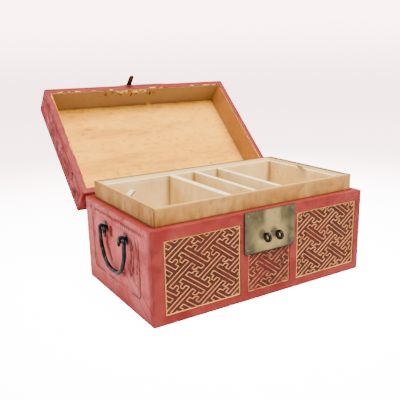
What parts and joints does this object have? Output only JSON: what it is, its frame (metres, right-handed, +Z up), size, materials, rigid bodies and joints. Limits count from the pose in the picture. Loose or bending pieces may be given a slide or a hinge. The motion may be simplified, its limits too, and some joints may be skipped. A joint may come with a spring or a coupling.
{
  "type": "jewellery case",
  "caption": "Leather-covered jewellery case with framed fret panels, hinged lid, lift-out divided tray, drop bails and a lock plate.",
  "frame": {"origin": "middle of the underside of the body", "axes": "+Z up, +X to the right along the front, +Y from front to back"},
  "size_m": [0.2978, 0.3326, 0.2306],
  "materials": {
    "board_wood": "plain",
    "front_leather": "waxed",
    "side_leather": "worn",
    "fret_leather": "embossed and gilt",
    "base_paper": "matt",
    "tan_board": "paper covered",
    "cream_paper": "matt",
    "lid_paper": "matt",
    "tray_board": "paper covered",
    "ribbon": "woven",
    "plate_brass": "patinated",
    "dark_bronze": "dark patina",
    "hinge_brass": "patinated"
  },
  "bodies": {
    "case": {"front_board": "board_wood", "back_board": "board_wood", "left_board": "board_wood", "right_board": "board_wood", "bottom_board": "board_wood", "base_cover": "base_paper", "body_leather": "side_leather", "rim_leather": "front_leather", "front_frame": "front_leather", "left_fret_panel": "fret_leather", "centre_fret_panel": "fret_leather", "right_fret_panel": "fret_leather", "collar_front": "tan_board", "collar_back": "tan_board", "collar_left": "tan_board", "collar_right": "tan_board", "cavity_lining": "cream_paper", "tray_battens": "board_wood", "body_lock_plate": "plate_brass", "body_plate_nails": "dark_bronze", "panel_nail": "plate_brass", "lock_staples": "dark_bronze", "handle_eyes": "dark_bronze", "handle_washers": "dark_bronze", "body_hinge_leaves": "hinge_brass", "hinge_pins": "hinge_brass", "body_hinge_nails": "hinge_brass"},
    "lid": {"lid_front_board": "board_wood", "lid_back_board": "board_wood", "lid_left_board": "board_wood", "lid_right_board": "board_wood", "lid_top_board": "board_wood", "lid_leather": "side_leather", "lid_rim_leather": "front_leather", "lid_lining": "lid_paper", "lid_front_frame": "front_leather", "lid_front_fret_panels": "fret_leather", "lid_top_frame": "front_leather", "lid_top_fret_panels": "fret_leather", "lid_lock_plate": "plate_brass", "lid_plate_nails": "dark_bronze", "lid_plate_rivets": "dark_bronze", "lid_hinge_leaves": "hinge_brass", "lid_hinge_nails": "hinge_brass", "tongue_pin": "dark_bronze"},
    "tray": {"tray_floor": "tray_board", "tray_front": "tray_board", "tray_back": "tray_board", "tray_left": "tray_board", "tray_right": "tray_board", "left_divider": "tray_board", "middle_divider": "tray_board", "right_divider": "tray_board", "tray_lining": "cream_paper", "left_pull_tab": "ribbon", "right_pull_tab": "ribbon"},
    "hasp_tongue": {"hasp_tongue": "dark_bronze"},
    "left_bail": {"left_bail": "dark_bronze"},
    "right_bail": {"right_bail": "dark_bronze"}
  },
  "joints": [
    {"name": "lid_hinge", "type": "hinge", "parent": "case", "child": "lid", "pos_m": [0, 0.0869, 0.0986], "axis": [-1, 0, 0], "range_deg": [-136.2, 0]},
    {"name": "tongue_swing", "type": "hinge", "parent": "lid", "child": "hasp_tongue", "pos_m": [-0.0172, 0.21546, 0.21593], "axis": [-1, 0, 0], "range_deg": [0, 170]},
    {"name": "left_bail_swing", "type": "hinge", "parent": "case", "child": "left_bail", "pos_m": [-0.145, -0.002, 0.077], "axis": [0, 1, 0], "range_deg": [-3, 175]},
    {"name": "right_bail_swing", "type": "hinge", "parent": "case", "child": "right_bail", "pos_m": [0.145, -0.002, 0.077], "axis": [0, -1, 0], "range_deg": [-3, 175]},
    {"name": "tray_lift", "type": "slide", "parent": "case", "child": "tray", "axis": [0, 0, 1], "range_m": [0, 0.06]}
  ]
}
